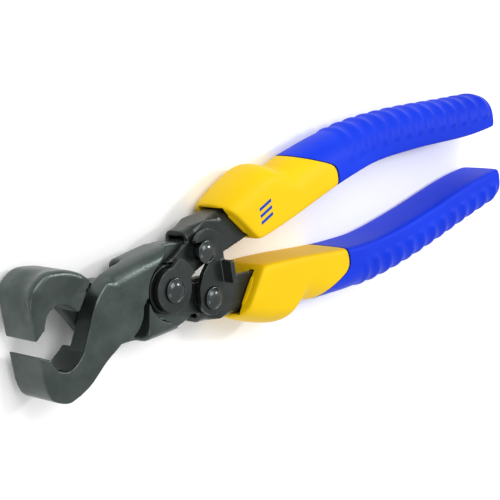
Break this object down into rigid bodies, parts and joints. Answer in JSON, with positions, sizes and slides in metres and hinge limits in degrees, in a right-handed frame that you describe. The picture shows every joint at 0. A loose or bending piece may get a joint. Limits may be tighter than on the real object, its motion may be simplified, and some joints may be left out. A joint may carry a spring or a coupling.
{
  "type": "tile nippers",
  "caption": "Compound-action tile nippers with curved carbide-edged jaws, stamped channel handles, thumb latch and two-colour soft grips.",
  "frame": {"origin": "under the middle of the tool's box, on the surface that its rear side lies on", "axes": "+X from the jaw tips to the handle ends, +Y towards the upper handle, +Z out of the front face"},
  "size_m": [0.2064, 0.0524, 0.0198],
  "materials": {
    "oxide_forging": "satin black oxide on forged steel",
    "oxide_stamping": "satin black oxide on stamped steel",
    "oxide_rivet": "polished black oxide rivet heads",
    "carbide": "ground carbide, darkened with the jaw",
    "spring_steel": "bright spring steel",
    "yellow_grip": "satin moulded vinyl",
    "blue_grip": "satin moulded soft vinyl with ribs"
  },
  "bodies": {
    "lower_handle": {"lower_handle_frame": "oxide_stamping", "lower_grip_collar": "yellow_grip", "lower_grip_sleeve": "blue_grip", "handle_pivot_rivet": "oxide_rivet", "lower_tail_rivet": "oxide_rivet", "pivot_sleeve": "spring_steel", "return_spring": "spring_steel", "front_pivot_washer": "spring_steel", "rear_pivot_washer": "spring_steel", "latch_washer": "spring_steel"},
    "upper_handle": {"upper_handle_frame": "oxide_stamping", "upper_grip_collar": "yellow_grip", "upper_grip_sleeve": "blue_grip", "upper_tail_rivet": "oxide_rivet"},
    "lower_jaw": {"lower_jaw": "oxide_forging", "lower_carbide_edge": "carbide", "jaw_pivot_pin": "oxide_rivet"},
    "upper_jaw": {"upper_jaw": "oxide_forging", "upper_carbide_edge": "carbide"},
    "latch": {"latch_plate": "oxide_stamping"}
  },
  "joints": [
    {"name": "handle_pivot", "type": "hinge", "parent": "lower_handle", "child": "upper_handle", "pos_m": [-0.05545, 0, 0.0088], "axis": [0, 0, 1], "range_deg": [0, 28]},
    {"name": "lower_jaw_tail", "type": "hinge", "parent": "upper_handle", "child": "lower_jaw", "pos_m": [-0.04185, 0.0068, 0.0088], "axis": [0, 0, 1], "range_deg": [-8.6, 0]},
    {"name": "jaw_pivot", "type": "hinge", "parent": "lower_jaw", "child": "upper_jaw", "pos_m": [-0.07475, 0, 0.0088], "axis": [0, 0, 1], "range_deg": [-10.9, 0]},
    {"name": "latch_pivot", "type": "hinge", "parent": "lower_handle", "child": "latch", "pos_m": [-0.04185, -0.0068, 0.0088], "axis": [0, 0, -1], "range_deg": [0, 40]}
  ],
  "couplings": [
    {"joint": "lower_jaw_tail", "follows": "handle_pivot", "ratio": -0.3057},
    {"joint": "jaw_pivot", "follows": "handle_pivot", "ratio": -0.3885},
    {"joint": "latch_pivot", "follows": "handle_pivot", "ratio": 1.428}
  ]
}
